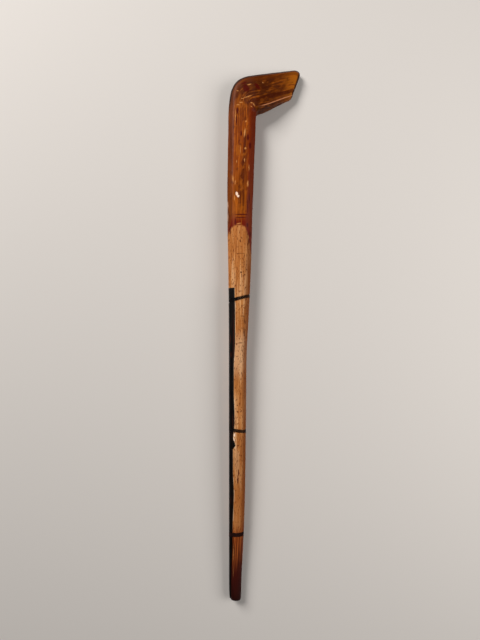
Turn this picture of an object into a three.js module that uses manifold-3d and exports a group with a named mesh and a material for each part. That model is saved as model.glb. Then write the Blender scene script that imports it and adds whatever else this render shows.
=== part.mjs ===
// Carved crook-handled walking stick with a black splint let into its flank and three cord bindings.
// Units are millimetres. The stick lies on its back: +Z up, +Y along the shaft towards the handle,
// +X the way the handle points.
import * as THREE from 'three';
import { mergeVertices } from 'three/addons/utils/BufferGeometryUtils.js';
import Module from 'manifold-3d';

// Driving dimensions of the carved stick.
const overallLength = 850;
const handleReach = 114.3;
const handleRise = 71;
const neckWidth = 43.5;
const middleWidth = 28;
const tipWidth = 19;
const neckDepth = 30;
const middleDepth = 25;
const tipDepth = 17.5;
const noseDepth = 14.4;
const beakDepth = 12;
const neckFacet = 8;
const crownFacet = 5;
const underFacet = 3.3;
const backFacet = 6;
const innerFillet = 3.5;
const edgeBreak = 1.3;
const backRise = 6;
const outerSwell = 2.2;

// Places along the shaft, as shares of its length from the tip.
const roundedShare = 0.02;
const fullTipShare = 0.03;
const ovalShare = 0.7;
const swellShare = 0.81;
const swellSpread = 0.15;
const facetedShare = 0.86;

// A front facet goes down this much for each millimetre across, and no facet takes more than
// these shares of the section's width and depth.
const facetRise = 0.8;
const facetWidthLimit = 0.3;
const frontFacetLimit = 0.45;
const backFacetLimit = 0.35;

// Distances below the handle at which the shaft's last section meets its two edges.
const outerLead = 16;
const innerLead = 6;

// The inner fillet climbs this share of its size past the end of the shaft, and the last ring of
// the beak is drawn in by this share of its width.
const filletRise = 0.35;
const endInset = 0.06;

// Driving dimensions of the splint and its rebate.
const splintLength = 500;
const splintWidth = 10;
const lipStep = 0.7;
const bedStep = 0.25;
const endStep = 0.5;
const bedDrop = 0.04;
const firstShare = 0.006;
const notchPlace = 252;
const notchDepth = 4.2;
const notchAbove = 10;
const notchBelow = 6;

// Driving dimensions of the bindings.
const cordDiameter = 1.1;
const cordPitch = 1.25;
const grooveDepth = 1.2;
const cordSides = 6;
const stepsPerTurn = 36;
const upperPlace = 483.5;
const middlePlace = 275.5;
const lowerPlace = 109.5;
const upperTilt = 15;
const middleTilt = -8;
const lowerTilt = 1;
const upperTurns = 4;
const middleTurns = 4;
const lowerTurns = 5;

// Clearance left between separate pieces, and between a cord and the floor of its groove.
const fitGap = 0.3;
const cordGap = 0.4;

// The rebate's cutter reaches this far past the wood, and a groove's slab this many half widths.
const overshoot = 12;
const slabReach = 1.5;

const shaftLength = overallLength - handleRise;
const roundedEnd = roundedShare * shaftLength;
const fullTip = fullTipShare * shaftLength;
const sidePoints = 3;

const wasm = await Module();
wasm.setup();

// Straight-line interpolation through a short list of [place, value] pairs.
function alongList(list, place) {
  if (place <= list[0][0]) {
    return list[0][1];
  }
  for (let i = 1; i < list.length; i += 1) {
    if (place <= list[i][0]) {
      const share = (place - list[i - 1][0]) / (list[i][0] - list[i - 1][0]);
      return THREE.MathUtils.lerp(list[i - 1][1], list[i][1], share);
    }
  }
  return list[list.length - 1][1];
}

// Width of the shaft at a distance from the tip. The tip is rounded off over its last few millimetres.
function shaftWidth(y) {
  const full = shaftLength;
  return alongList([
    [0, 0.58 * tipWidth],
    [0.004 * full, 0.86 * tipWidth],
    [0.011 * full, 0.96 * tipWidth],
    [fullTip, tipWidth],
    [0.15 * full, THREE.MathUtils.lerp(tipWidth, middleWidth, 0.53)],
    [0.22 * full, THREE.MathUtils.lerp(tipWidth, middleWidth, 0.73)],
    [0.32 * full, THREE.MathUtils.lerp(tipWidth, middleWidth, 0.86)],
    [0.51 * full, middleWidth],
    [0.56 * full, THREE.MathUtils.lerp(middleWidth, neckWidth, 0.16)],
    [0.7 * full, THREE.MathUtils.lerp(middleWidth, neckWidth, 0.57)],
    [0.85 * full, THREE.MathUtils.lerp(middleWidth, neckWidth, 0.83)],
    [full, neckWidth],
  ], y);
}

// Depth of the shaft from back to front.
function shaftDepth(y) {
  const full = shaftLength;
  return alongList([
    [0, 0.55 * tipDepth],
    [0.004 * full, 0.84 * tipDepth],
    [0.011 * full, 0.97 * tipDepth],
    [fullTip, tipDepth],
    [0.5 * full, middleDepth],
    [0.85 * full, THREE.MathUtils.lerp(middleDepth, neckDepth, 0.85)],
    [full, neckDepth],
  ], y);
}

// Outer edge of the shaft: straight, with a long shallow swell below the handle and an inset tip.
function outerEdge(y) {
  const share = y / shaftLength;
  const swell = Math.exp(-Math.pow((share - swellShare) / swellSpread, 2));
  const missing = tipWidth - shaftWidth(Math.min(y, fullTip));
  return 0.75 * missing - outerSwell * swell;
}

// Height of the shaft's back above the floor: it bows up a little between the handle and the tip.
function backHeight(y) {
  const bow = Math.sin(Math.PI * THREE.MathUtils.clamp(y / shaftLength, 0, 1));
  const roundOff = 0.5 * (tipDepth - shaftDepth(Math.min(y, fullTip)));
  return backRise * bow + roundOff;
}

// How round the shaft's section is: faceted at the neck, round further down.
function roundness(y) {
  const round = THREE.MathUtils.mapLinear(y / shaftLength, facetedShare, ovalShare, 0, 1);
  return THREE.MathUtils.clamp(round, 0, 1);
}

// One ring of a section that runs from an outer point to an inner point. The front has a facet
// along each edge, and the ring blends from an eight-sided section to an oval one.
function sectionRing(outer, inner, back, front, outerFacet, innerFacet, round) {
  const width = outer.distanceTo(inner);
  const depth = front - back;
  const limit = Math.min(facetWidthLimit * width, frontFacetLimit * depth);
  const outerCut = Math.min(outerFacet, limit);
  const innerCut = Math.min(innerFacet, limit);
  const backCut = Math.min(backFacet, facetWidthLimit * width, backFacetLimit * depth);
  const corners = [
    [outerCut, depth],
    [width - innerCut, depth],
    [width, depth - facetRise * innerCut],
    [width, backCut],
    [width - backCut, 0],
    [backCut, 0],
    [0, backCut],
    [0, depth - facetRise * outerCut],
  ];
  const ring = [];
  for (let i = 0; i < corners.length; i += 1) {
    const from = corners[i];
    const to = corners[(i + 1) % corners.length];
    for (let j = 0; j < sidePoints; j += 1) {
      const across = THREE.MathUtils.lerp(from[0], to[0], j / sidePoints);
      const up = THREE.MathUtils.lerp(from[1], to[1], j / sidePoints);
      const angle = Math.atan2((up - 0.5 * depth) / depth, (across - 0.5 * width) / width);
      const ovalAcross = 0.5 * width * (1 + Math.cos(angle));
      const ovalUp = 0.5 * depth * (1 + Math.sin(angle));
      const share = THREE.MathUtils.lerp(across, ovalAcross, round) / width;
      ring.push(new THREE.Vector3(
        THREE.MathUtils.lerp(outer.x, inner.x, share),
        THREE.MathUtils.lerp(outer.y, inner.y, share),
        back + THREE.MathUtils.lerp(up, ovalUp, round),
      ));
    }
  }
  return ring;
}

// Closed body through a row of rings with the same number of points, with a fan on each end.
function loftBody(rings) {
  const count = rings[0].length;
  const points = [];
  const faces = [];
  rings.forEach((ring) => ring.forEach((point) => points.push(point.x, point.y, point.z)));
  for (let i = 0; i + 1 < rings.length; i += 1) {
    for (let j = 0; j < count; j += 1) {
      const a = i * count + j;
      const b = i * count + (j + 1) % count;
      faces.push(a, b, b + count);
      faces.push(a, b + count, a + count);
    }
  }
  const ends = [[0, 1], [rings.length - 1, 0]];
  ends.forEach(([which, turned]) => {
    const middle = new THREE.Vector3();
    rings[which].forEach((point) => middle.addScaledVector(point, 1 / count));
    const centre = points.length / 3;
    points.push(middle.x, middle.y, middle.z);
    for (let j = 0; j < count; j += 1) {
      const a = which * count + j;
      const b = which * count + (j + 1) % count;
      faces.push(centre, turned ? b : a, turned ? a : b);
    }
  });
  const geometry = new THREE.BufferGeometry();
  geometry.setAttribute('position', new THREE.Float32BufferAttribute(points, 3));
  geometry.setIndex(faces);
  return geometry;
}

// Six times the signed volume tells which way a closed geometry faces.
function facesOut(geometry) {
  const place = geometry.attributes.position;
  const index = geometry.index;
  const a = new THREE.Vector3();
  const b = new THREE.Vector3();
  const c = new THREE.Vector3();
  let sum = 0;
  for (let i = 0; i < index.count; i += 3) {
    a.fromBufferAttribute(place, index.getX(i));
    b.fromBufferAttribute(place, index.getX(i + 1));
    c.fromBufferAttribute(place, index.getX(i + 2));
    sum += a.dot(b.cross(c));
  }
  return sum > 0;
}

// A three.js geometry as a solid for the boolean operations.
function toSolid(source) {
  const bare = source.clone();
  bare.deleteAttribute('normal');
  bare.deleteAttribute('uv');
  const merged = mergeVertices(bare, 1e-4);
  const triangles = Uint32Array.from(merged.index.array);
  if (!facesOut(merged)) {
    for (let i = 0; i < triangles.length; i += 3) {
      const kept = triangles[i];
      triangles[i] = triangles[i + 1];
      triangles[i + 1] = kept;
    }
  }
  const mesh = new wasm.Mesh({
    numProp: 3,
    vertProperties: Float32Array.from(merged.attributes.position.array),
    triVerts: triangles,
  });
  mesh.merge();
  return new wasm.Manifold(mesh);
}

// A solid back as a three.js geometry.
function toGeometry(solid) {
  const mesh = solid.getMesh();
  const geometry = new THREE.BufferGeometry();
  geometry.setAttribute('position', new THREE.Float32BufferAttribute(mesh.vertProperties, 3));
  geometry.setIndex(Array.from(mesh.triVerts));
  const flat = geometry.toNonIndexed();
  flat.computeVertexNormals();
  return flat;
}

// A point of the handle's outline: a share of the reach, across from the stick's outer side, and
// a share of the rise above the end of the shaft.
function handlePoint(across, up) {
  return new THREE.Vector2(across * handleReach, shaftLength + up * handleRise);
}
const crownStart = handlePoint(0.341, 0.775);
const crownEnd = handlePoint(0.857, 0.984);
const underEnd = handlePoint(0.844, 0.346);
const cornerCurve = new THREE.CubicBezierCurve(
  new THREE.Vector2(outerEdge(shaftLength), shaftLength + 1),
  handlePoint(0.021, 0.437),
  handlePoint(0.026, 0.746),
  crownStart,
);
const crownLine = new THREE.LineCurve(crownStart, crownEnd);
const noseCurve = new THREE.CubicBezierCurve(
  crownEnd,
  handlePoint(0.936, 1.018),
  handlePoint(1, 1.007),
  handlePoint(1, 0.893),
);
const rootX = outerEdge(shaftLength) + neckWidth;
const filletEnd = new THREE.Vector2(rootX + innerFillet, shaftLength + filletRise * innerFillet);
const filletCurve = new THREE.QuadraticBezierCurve(
  new THREE.Vector2(rootX, shaftLength - innerFillet),
  new THREE.Vector2(rootX, shaftLength),
  filletEnd,
);
const underCurve = new THREE.CubicBezierCurve(
  filletEnd,
  handlePoint(0.553, 0.076),
  handlePoint(0.698, 0.244),
  underEnd,
);
const endLine = new THREE.LineCurve(underEnd, handlePoint(0.88, 0.392));

// The whole stick as one body: shaft rings, a fan of rings round the corner, then the handle.
const stickRings = [];
function shaftRing(outer, inner, y) {
  const back = backHeight(y);
  const front = back + shaftDepth(y);
  return sectionRing(outer, inner, back, front, neckFacet, neckFacet, roundness(y));
}
const shaftSteps = 34;
const tipPlaces = [0, 0.0018, 0.004, 0.011, roundedShare];
tipPlaces.forEach((share) => {
  const y = share * shaftLength;
  const outer = new THREE.Vector2(outerEdge(y), y);
  const inner = new THREE.Vector2(outerEdge(y) + shaftWidth(y), y);
  stickRings.push(shaftRing(outer, inner, y));
});
for (let i = 1; i <= shaftSteps; i += 1) {
  const share = i / shaftSteps;
  const yOuter = THREE.MathUtils.lerp(roundedEnd, shaftLength - outerLead, share);
  const yInner = THREE.MathUtils.lerp(roundedEnd, shaftLength - innerFillet - innerLead, share);
  const outer = new THREE.Vector2(outerEdge(yOuter), yOuter);
  const inner = new THREE.Vector2(outerEdge(yInner) + shaftWidth(yInner), yInner);
  const y = 0.5 * (yOuter + yInner);
  stickRings.push(shaftRing(outer, inner, y));
}
const cornerSteps = 12;
for (let i = 0; i <= cornerSteps; i += 1) {
  const share = i / cornerSteps;
  const outer = cornerCurve.getPoint(share);
  const inner = filletCurve.getPoint(share);
  const outerFacet = THREE.MathUtils.lerp(neckFacet, crownFacet, share);
  const innerFacet = THREE.MathUtils.lerp(neckFacet, underFacet, share);
  stickRings.push(sectionRing(outer, inner, 0, neckDepth, outerFacet, innerFacet, 0));
}
const handleSteps = 8;
for (let i = 1; i <= handleSteps; i += 1) {
  const share = i / handleSteps;
  const front = THREE.MathUtils.lerp(neckDepth, noseDepth, Math.pow(share, 1.1));
  const outer = crownLine.getPoint(share);
  const inner = underCurve.getPoint(share);
  stickRings.push(sectionRing(outer, inner, 0, front, crownFacet, underFacet, 0));
}
const noseSteps = 4;
for (let i = 1; i <= noseSteps; i += 1) {
  const share = i / noseSteps;
  const front = THREE.MathUtils.lerp(noseDepth, beakDepth, share);
  const outer = noseCurve.getPoint(share);
  const inner = endLine.getPoint(share);
  stickRings.push(sectionRing(outer, inner, 0, front, crownFacet, underFacet, 0));
}
// The last ring is smaller and a little further out, which breaks the edge of the beak's end face.
const lastOuter = noseCurve.getPoint(1);
const lastInner = endLine.getPoint(1);
const outward = new THREE.Vector2(lastOuter.y - lastInner.y, lastInner.x - lastOuter.x).normalize();
const endOuter = lastOuter.clone().lerp(lastInner, endInset).addScaledVector(outward, edgeBreak);
const endInner = lastInner.clone().lerp(lastOuter, endInset).addScaledVector(outward, edgeBreak);
const endFront = beakDepth - edgeBreak;
stickRings.push(sectionRing(endOuter, endInner, edgeBreak, endFront, crownFacet, underFacet, 0));

const wholeStick = toSolid(loftBody(stickRings));

// Half-axes and middle of the shaft's oval section at a distance from the tip.
function ovalAt(y) {
  const across = 0.5 * shaftWidth(y);
  const up = 0.5 * shaftDepth(y);
  return { across, up, x: outerEdge(y) + across, z: backHeight(y) + up };
}

// Width of the rebate from the outer edge, cut by hand and a little uneven.
function lipWidth(y) {
  const share = y / splintLength;
  return splintWidth * alongList([
    [0, 0.3],
    [0.1, 0.4],
    [0.16, 0.56],
    [0.25, 0.6],
    [0.35, 0.82],
    [0.41, 0.66],
    [0.5, 0.65],
    [0.54, 0.72],
    [0.57, 0.91],
    [0.62, 0.9],
    [0.66, 0.79],
    [0.76, 0.8],
    [0.82, 1],
    [0.94, 1.02],
    [1, 0.97],
  ], share);
}
// The notch opens slowly from above and closes sharply below.
function notchWidth(y) {
  const reach = y > notchPlace ? notchAbove : notchBelow;
  return notchDepth * Math.max(0, 1 - Math.abs(y - notchPlace) / reach);
}

// Places along the splint at which both the rebate and the splint get a section.
const splintPlaces = [];
const splintSteps = 36;
for (let i = 1; i <= splintSteps; i += 1) {
  splintPlaces.push((splintLength * i) / splintSteps);
}
[-notchBelow, 0, notchAbove].forEach((offset) => splintPlaces.push(notchPlace + offset));
splintPlaces.sort((one, other) => one - other);
const firstPlace = firstShare * shaftLength;
splintPlaces.unshift(firstPlace);

// Bed of the rebate above the floor, and its wall measured across.
function bedHeight(y) {
  const oval = ovalAt(Math.max(y, roundedEnd));
  return oval.z - bedDrop * oval.up;
}
function wallPlace(y) {
  return outerEdge(Math.max(y, roundedEnd)) + lipWidth(y);
}

// The rebate: open to the outer side and to the front, with a flat bed behind.
const rebateRings = [];
const rebatePlaces = [-overshoot, ...splintPlaces];
rebatePlaces.forEach((y, i) => {
  const near = Math.max(y, firstPlace);
  const oval = ovalAt(Math.max(y, roundedEnd));
  const wall = wallPlace(near) + notchWidth(y);
  const open = oval.x - oval.across - overshoot;
  const top = oval.z + oval.up + overshoot;
  const place = i === rebatePlaces.length - 1 ? splintLength + fitGap : y;
  rebateRings.push([
    new THREE.Vector3(wall, place, bedHeight(near)),
    new THREE.Vector3(wall, place, top),
    new THREE.Vector3(open, place, top),
    new THREE.Vector3(open, place, bedHeight(near)),
  ]);
});
const rebate = toSolid(loftBody(rebateRings));

// The splint: flush with the stick's outside, stepped down where it meets the lip, and crowned.
// It fills most of the notch.
const splintRings = [];
const crownPoints = 9;
splintPlaces.forEach((y, i) => {
  const oval = ovalAt(y);
  const wall = wallPlace(y) + 0.9 * notchWidth(y) - fitGap;
  const bed = bedHeight(y) + fitGap;
  const drawnIn = i === 0 || i === splintPlaces.length - 1 ? endStep : 0;
  const lipInset = lipStep + drawnIn;
  const bedInset = bedStep + drawnIn;
  const lipAngle = Math.acos((wall - oval.x) / (oval.across - lipInset));
  const bedAngle = Math.PI - Math.asin((bed - oval.z) / (oval.up - bedInset));
  const ring = [new THREE.Vector3(wall, y, bed)];
  for (let j = 0; j <= crownPoints; j += 1) {
    const share = j / crownPoints;
    const angle = THREE.MathUtils.lerp(lipAngle, bedAngle, share);
    const crowned = drawnIn + lipStep * Math.pow(1 - share, 3) + bedStep * Math.pow(share, 3);
    ring.push(new THREE.Vector3(
      oval.x + (oval.across - crowned) * Math.cos(angle),
      y,
      oval.z + (oval.up - crowned) * Math.sin(angle),
    ));
  }
  splintRings.push(ring);
});
const wholeSplint = toSolid(loftBody(splintRings));

// Each binding is a cord wound in a shallow groove round stick and splint, its turns side by side.
const bindings = [
  { name: 'upper_binding', place: upperPlace, tilt: upperTilt, turns: upperTurns },
  { name: 'middle_binding', place: middlePlace, tilt: middleTilt, turns: middleTurns },
  { name: 'lower_binding', place: lowerPlace, tilt: lowerTilt, turns: lowerTurns },
];
function slopeOf(tilt) {
  return Math.tan(THREE.MathUtils.degToRad(tilt));
}

// The groove's cutter: a tilted slab wider than the stick, less the core that the groove leaves.
function grooveCutter({ place, tilt, turns }) {
  const half = 0.5 * (cordPitch * turns + cordDiameter) + fitGap;
  const oval = ovalAt(place);
  const reach = slabReach * oval.across;
  const slabRings = [-half, half].map((offset) => [[1, -1], [1, 1], [-1, 1], [-1, -1]].map(([x, z]) => (
    new THREE.Vector3(
      oval.x + reach * x,
      place + offset + slopeOf(tilt) * reach * x,
      oval.z + reach * z,
    ))));
  const coreRings = [];
  const coreSteps = 8;
  const corePoints = 48;
  const span = half + slabReach * Math.abs(slopeOf(tilt)) * reach;
  for (let i = 0; i <= coreSteps; i += 1) {
    const y = place + THREE.MathUtils.lerp(-span, span, i / coreSteps);
    const level = ovalAt(y);
    const ring = [];
    for (let j = 0; j < corePoints; j += 1) {
      const angle = (2 * Math.PI * j) / corePoints;
      ring.push(new THREE.Vector3(
        level.x + (level.across - grooveDepth) * Math.cos(angle),
        y,
        level.z + (level.up - grooveDepth) * Math.sin(angle),
      ));
    }
    coreRings.push(ring);
  }
  return toSolid(loftBody(slabRings)).subtract(toSolid(loftBody(coreRings)));
}
const grooves = wasm.Manifold.union(bindings.map(grooveCutter));
const carvedStick = wholeStick.subtract(rebate).subtract(grooves);
const blackSplint = wholeSplint.subtract(grooves);

// The path of a cord's middle line: a tilted coil that starts under the stick's back.
class WindingCurve extends THREE.Curve {
  constructor({ place, tilt, turns }) {
    super();
    Object.assign(this, { place, tilt, turns });
  }

  getPoint(share) {
    const angle = 2 * Math.PI * this.turns * share - 0.5 * Math.PI;
    const standOff = 0.5 * cordDiameter + cordGap - grooveDepth;
    const level = this.place + cordPitch * this.turns * (share - 0.5);
    const first = ovalAt(level);
    const y = level + slopeOf(this.tilt) * first.across * Math.cos(angle);
    const oval = ovalAt(y);
    return new THREE.Vector3(
      oval.x + (oval.across + standOff) * Math.cos(angle),
      y,
      oval.z + (oval.up + standOff) * Math.sin(angle),
    );
  }
}
function woundCord(binding) {
  const circle = new THREE.Shape();
  for (let i = 0; i < cordSides; i += 1) {
    const angle = (2 * Math.PI * i) / cordSides;
    const x = 0.5 * cordDiameter * Math.cos(angle);
    const y = 0.5 * cordDiameter * Math.sin(angle);
    if (i === 0) {
      circle.moveTo(x, y);
    } else {
      circle.lineTo(x, y);
    }
  }
  circle.closePath();
  const cord = new THREE.ExtrudeGeometry(circle, {
    steps: stepsPerTurn * binding.turns,
    bevelEnabled: false,
    extrudePath: new WindingCurve(binding),
  });
  return toSolid(cord);
}

// Materials.
const carvedWood = new THREE.MeshStandardMaterial({ color: '#a8683a', roughness: 0.5, metalness: 0 });
const blackCane = new THREE.MeshStandardMaterial({ color: '#1a120e', roughness: 0.35, metalness: 0 });
const blackCord = new THREE.MeshStandardMaterial({ color: '#15100e', roughness: 0.7, metalness: 0 });

const group = new THREE.Group();
function addPiece(name, solid, material) {
  const mesh = new THREE.Mesh(toGeometry(solid), material);
  mesh.name = name;
  group.add(mesh);
}
addPiece('carved_stick', carvedStick, carvedWood);
addPiece('black_splint', blackSplint, blackCane);
bindings.forEach((binding) => addPiece(binding.name, woundCord(binding), blackCord));

// The origin is the bottom centre of the whole object's box.
const box = new THREE.Box3().setFromObject(group);
const middle = box.getCenter(new THREE.Vector3());
group.children.forEach((mesh) => mesh.geometry.translate(-middle.x, -middle.y, -box.min.z));
group.name = 'walking_stick';

export default group;
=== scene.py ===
import math

import bmesh
import bpy
import numpy as np
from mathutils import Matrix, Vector
from mathutils.bvhtree import BVHTree


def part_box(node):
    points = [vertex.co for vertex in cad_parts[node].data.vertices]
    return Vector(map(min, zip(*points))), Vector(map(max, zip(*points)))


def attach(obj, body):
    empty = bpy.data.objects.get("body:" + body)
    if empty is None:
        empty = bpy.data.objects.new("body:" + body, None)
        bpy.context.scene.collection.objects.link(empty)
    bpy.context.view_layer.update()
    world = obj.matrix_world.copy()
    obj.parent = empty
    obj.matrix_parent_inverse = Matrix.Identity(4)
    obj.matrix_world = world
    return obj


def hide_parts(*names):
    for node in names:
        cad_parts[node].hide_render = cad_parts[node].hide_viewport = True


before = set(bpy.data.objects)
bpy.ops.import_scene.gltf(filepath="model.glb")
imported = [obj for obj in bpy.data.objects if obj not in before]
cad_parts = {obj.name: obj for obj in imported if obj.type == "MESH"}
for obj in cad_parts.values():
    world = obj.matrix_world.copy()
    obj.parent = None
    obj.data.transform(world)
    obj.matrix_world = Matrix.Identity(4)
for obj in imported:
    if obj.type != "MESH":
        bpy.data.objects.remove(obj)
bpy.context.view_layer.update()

# ---------------------------------------------------------------------------------------------
# Sizes, in millimetres. u runs across from the stick's straight outer edge, v along from its tip.
# ---------------------------------------------------------------------------------------------
MM = 0.001
STICK_LOW, STICK_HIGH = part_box("carved_stick")
OUTER_SWELL, SWELL_PLACE, SWELL_SPREAD = 2.2, 0.81, 0.15
HANDLE_RISE = 71.0
HANDLE_REACH = 114.3
SHAFT_LENGTH = (STICK_HIGH[1] - STICK_LOW[1]) / MM - HANDLE_RISE
NECK_WIDTH, MIDDLE_WIDTH, TIP_WIDTH = 43.5, 28.0, 19.5
NECK_DEPTH, MIDDLE_DEPTH, TIP_DEPTH, BEAK_DEPTH = 30.0, 25.0, 17.5, 12.0
NECK_FACET, CROWN_FACET, UNDER_FACET, BACK_FACET = 8.0, 5.0, 3.3, 6.0
INNER_FILLET = 3.5
BACK_RISE = 6.0
ROUNDED_TIP, FULL_TIP = 0.02 * SHAFT_LENGTH, 0.03 * SHAFT_LENGTH

SPLINT_LENGTH = 500.0
SPLINT_WIDTH = 10.0
NOTCH_PLACE, NOTCH_DEPTH, NOTCH_ABOVE, NOTCH_BELOW = 252.0, 4.2, 10.0, 6.0

CORD_DIAMETER = 1.1
CORD_PITCH = 1.2
GROOVE_DEPTH = 1.05
BINDINGS = {
    "upper": {"place": 483.5, "tilt": 15.0, "turns": 4},
    "middle": {"place": 275.5, "tilt": -8.0, "turns": 4},
    "lower": {"place": 109.5, "tilt": 1.0, "turns": 5},
}

OUTER_X = STICK_LOW[0] + OUTER_SWELL * MM
TIP_Y = STICK_LOW[1]


def spot(u, v, z=0.0):
    """A place on the stick, from millimetres to the frame's metres."""
    return Vector((OUTER_X + u * MM, TIP_Y + v * MM, z * MM))


def between(start, end, share):
    """The value a given share of the way from the start to the end."""
    return start + (end - start) * share


def shaft_width(v):
    """Width of the front, tapering from the neck down to the rounded tip."""
    places = [0, 0.004, 0.011, 0.03, 0.15, 0.22, 0.32, 0.51, 0.56, 0.7, 0.85, 1]
    widths = [
        0.68 * TIP_WIDTH,
        0.9 * TIP_WIDTH,
        0.98 * TIP_WIDTH,
        TIP_WIDTH,
        between(TIP_WIDTH, MIDDLE_WIDTH, 0.53),
        between(TIP_WIDTH, MIDDLE_WIDTH, 0.73),
        between(TIP_WIDTH, MIDDLE_WIDTH, 0.86),
        MIDDLE_WIDTH,
        between(MIDDLE_WIDTH, NECK_WIDTH, 0.16),
        between(MIDDLE_WIDTH, NECK_WIDTH, 0.57),
        between(MIDDLE_WIDTH, NECK_WIDTH, 0.83),
        NECK_WIDTH,
    ]
    return float(np.interp(v / SHAFT_LENGTH, places, widths))


def shaft_depth(v):
    """Depth from back to front, least at the rounded tip."""
    places = [0, 0.004, 0.011, 0.03, 0.5, 0.85, 1]
    depths = [
        0.55 * TIP_DEPTH,
        0.84 * TIP_DEPTH,
        0.97 * TIP_DEPTH,
        TIP_DEPTH,
        MIDDLE_DEPTH,
        between(MIDDLE_DEPTH, NECK_DEPTH, 0.85),
        NECK_DEPTH,
    ]
    return float(np.interp(v / SHAFT_LENGTH, places, depths))


def outer_edge(v):
    """Place of the outer edge, which swells a little below the neck and turns in at the tip."""
    swell = math.exp(-(((v / SHAFT_LENGTH - SWELL_PLACE) / SWELL_SPREAD) ** 2))
    missing = TIP_WIDTH - shaft_width(min(v, FULL_TIP))
    return 0.75 * missing - OUTER_SWELL * swell


def back_height(v):
    """Height of the back over the floor: the shaft is a little bowed, and its tip rounded off."""
    bow = math.sin(math.pi * min(max(v / SHAFT_LENGTH, 0), 1))
    round_off = 0.5 * (TIP_DEPTH - shaft_depth(min(v, FULL_TIP)))
    return BACK_RISE * bow + round_off


def lip_width(v):
    """Width of the splint's rebate, cut by hand and uneven."""
    places = [0, 0.1, 0.16, 0.25, 0.35, 0.41, 0.5, 0.54, 0.57, 0.62, 0.66, 0.76, 0.82, 0.94, 1]
    shares = [0.3, 0.4, 0.56, 0.6, 0.82, 0.66, 0.65, 0.72, 0.91, 0.9, 0.79, 0.8, 1, 1.02, 0.97]
    return SPLINT_WIDTH * float(np.interp(v / SPLINT_LENGTH, places, shares))


def notch_width(v):
    """The notch in the rebate opens slowly from above and closes sharply below."""
    reach = NOTCH_ABOVE if v > NOTCH_PLACE else NOTCH_BELOW
    return NOTCH_DEPTH * max(0.0, 1 - abs(v - NOTCH_PLACE) / reach) ** 0.7


def wall_place(v):
    """Place of the rebate's wall, leaving out the notch."""
    return outer_edge(max(v, ROUNDED_TIP)) + lip_width(v)


def bed_height(v):
    """Height of the rebate's flat bed, just below the middle of the stick."""
    near = max(v, ROUNDED_TIP)
    return back_height(near) + 0.48 * shaft_depth(near)


def bezier(points, share):
    """A point on the curve through the first and last of its control points."""
    points = [Vector(point) for point in points]
    while len(points) > 1:
        points = [between(a, b, share) for a, b in zip(points, points[1:])]
    return points[0]


# ---------------------------------------------------------------------------------------------
# Hand modelling: a section is drawn on a square, then extruded from station to station.
# ---------------------------------------------------------------------------------------------
def start_section(name, place, width, depth):
    """A square plate standing across the stick at its first station, open in edit mode."""
    bpy.ops.object.select_all(action="DESELECT")
    bpy.ops.mesh.primitive_plane_add(size=1, location=place, rotation=(math.radians(90), 0, 0))
    piece = bpy.context.object
    piece.name = name
    piece.data.name = name
    piece.scale = (width, depth, 1)
    bpy.ops.object.transform_apply(location=True, rotation=True, scale=True)
    bpy.ops.object.mode_set(mode="EDIT")
    bpy.ops.mesh.select_mode(type="VERT")
    bpy.ops.mesh.select_all(action="SELECT")
    return piece


def select_vertices(piece, test):
    """In edit mode, selects just the vertices whose place passes the test."""
    mesh = bmesh.from_edit_mesh(piece.data)
    for vertex in mesh.verts:
        vertex.select_set(bool(test(vertex.co)))
    mesh.select_flush(True)
    bmesh.update_edit_mesh(piece.data)


def cut_corners(piece, middle, width, depth, cuts):
    """Bevels the four corners of a square section, as a carver takes a blank to eight sides."""
    for (side, level), (share, segments) in cuts.items():
        select_vertices(
            piece, lambda place: side * (place.x - middle.x) > 0.45 * width
            and level * (place.z - middle.z) > 0.45 * depth
        )
        bpy.ops.mesh.bevel(
            offset_type="PERCENT", offset_pct=100 * share, segments=segments, affect="VERTICES"
        )
    bpy.ops.mesh.select_all(action="SELECT")


def extrude_along(name, stations, cuts, trim=None):
    """Extrudes a section through stations of (middle, turn about Z, width, depth, facets)."""
    middle, turn, width, depth, facets = stations[0]
    piece = start_section(name, middle, width, depth)
    cut_corners(piece, middle, width, depth, cuts)
    if trim:
        trim(piece, middle, width, depth, facets)
    bpy.ops.mesh.select_mode(type="FACE")
    bpy.ops.transform.rotate(value=-turn, orient_axis="Z", center_override=middle)
    for new_middle, new_turn, new_width, new_depth, facets in stations[1:]:
        bpy.ops.mesh.extrude_region_move()
        # Without a window, rotate turns the other way, so each angle has its sign changed.
        bpy.ops.transform.rotate(value=turn, orient_axis="Z", center_override=middle)
        growth = (new_width / width, 1, new_depth / depth)
        bpy.ops.transform.resize(value=growth, center_override=middle)
        bpy.ops.transform.translate(value=new_middle - middle)
        middle, turn, width, depth = new_middle, new_turn, new_width, new_depth
        if trim:
            trim(piece, middle, width, depth, facets)
        bpy.ops.transform.rotate(value=-turn, orient_axis="Z", center_override=middle)
    return piece


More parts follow.
